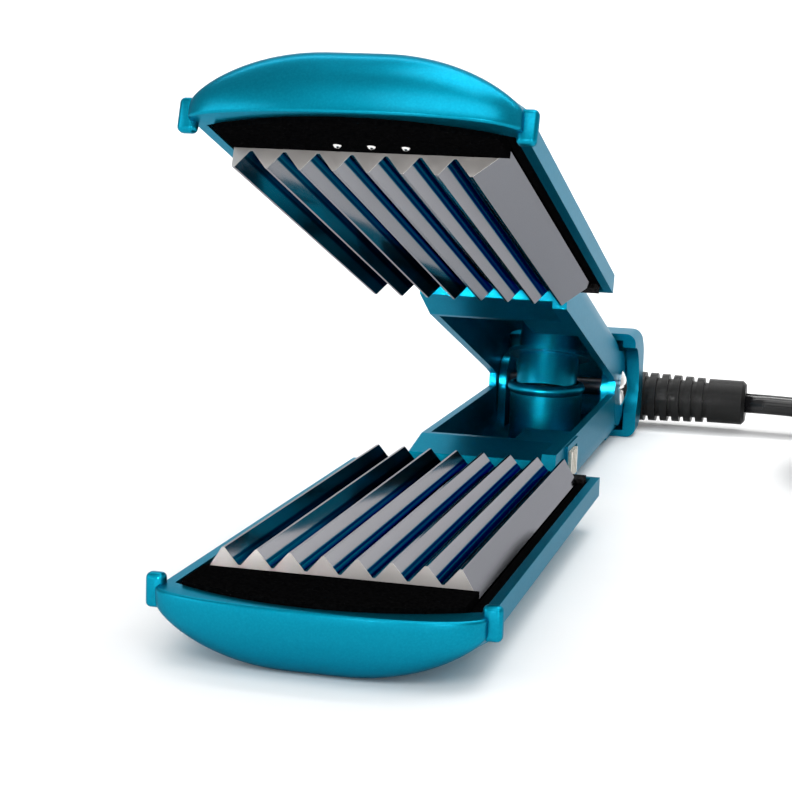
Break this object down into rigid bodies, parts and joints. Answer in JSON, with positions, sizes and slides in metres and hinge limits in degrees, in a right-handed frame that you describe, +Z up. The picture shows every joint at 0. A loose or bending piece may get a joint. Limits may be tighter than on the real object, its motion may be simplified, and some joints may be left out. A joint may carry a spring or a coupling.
{
  "type": "hair crimper",
  "caption": "Hand-held hair crimper with two hinged arms, ridged heating plates that mesh, a return spring, a slide switch and a flat swivel cord.",
  "frame": {"origin": "centre of the base of the crimper without its cord, on the table under the lower arm", "axes": "+X across the plates toward the switch and the cord, -Y toward the nose, +Z up"},
  "size_m": [0.2378, 0.2923, 0.1067],
  "materials": {
    "teal_paint": "metallic teal lacquer, glossy",
    "titanium_plate": "polished titanium-coloured coating",
    "black_plastic": "heat-resistant, fine grain",
    "steel": "plain",
    "chrome": "polished",
    "spring_steel": "oiled",
    "ceramic": "glazed ceramic",
    "grey_plastic": "plain",
    "seal_fibre": "felted fibre",
    "board_green": "solder mask",
    "silver_plastic": "silver lacquer",
    "black_rubber": "satin",
    "cord_sheath": "glossy sheath",
    "brass": "bright"
  },
  "bodies": {
    "lower_arm": {"lower_shell": "teal_paint", "lower_end_cap": "teal_paint", "lower_carrier": "black_plastic", "lower_plate": "titanium_plate", "lower_heater": "ceramic", "lower_heater_clamp": "steel", "lower_thermal_fuse": "grey_plastic", "lower_heat_seal": "seal_fibre", "lower_screws": "steel", "rear_cover": "teal_paint", "hinge_pin": "steel", "pin_caps": "chrome", "opening_spring": "spring_steel", "switch_body": "black_plastic", "power_board": "board_green", "cord_tube": "cord_sheath", "cord_coil": "cord_sheath", "coil_tie": "black_rubber", "cord_tail": "cord_sheath", "plug_body": "cord_sheath", "plug_blades": "brass"},
    "upper_arm": {"upper_shell": "teal_paint", "upper_end_cap": "teal_paint", "upper_carrier": "black_plastic", "upper_plate": "titanium_plate", "upper_plate_rivets": "chrome", "upper_heater": "ceramic", "upper_heater_clamp": "steel", "upper_thermal_fuse": "grey_plastic", "upper_heat_seal": "seal_fibre", "upper_screws": "steel"},
    "switch_slider": {"switch_knob": "silver_plastic"},
    "cord_swivel_body": {"strain_relief": "black_rubber"}
  },
  "joints": [
    {"name": "arm_hinge", "type": "hinge", "parent": "lower_arm", "child": "upper_arm", "pos_m": [0, 0.10725, 0.016], "axis": [1, 0, 0], "range_deg": [0, 17.6], "stiffness_Nm_per_rad": 0.5, "springref_deg": -40.11, "deforming": ["opening_spring"]},
    {"name": "switch_slide", "type": "slide", "parent": "lower_arm", "child": "switch_slider", "axis": [0, 1, 0], "range_m": [0, 0.004]},
    {"name": "cord_swivel", "type": "hinge", "parent": "lower_arm", "child": "cord_swivel_body", "pos_m": [0.003, 0.13975, 0.009], "axis": [1, 0, 0], "continuous": true}
  ]
}
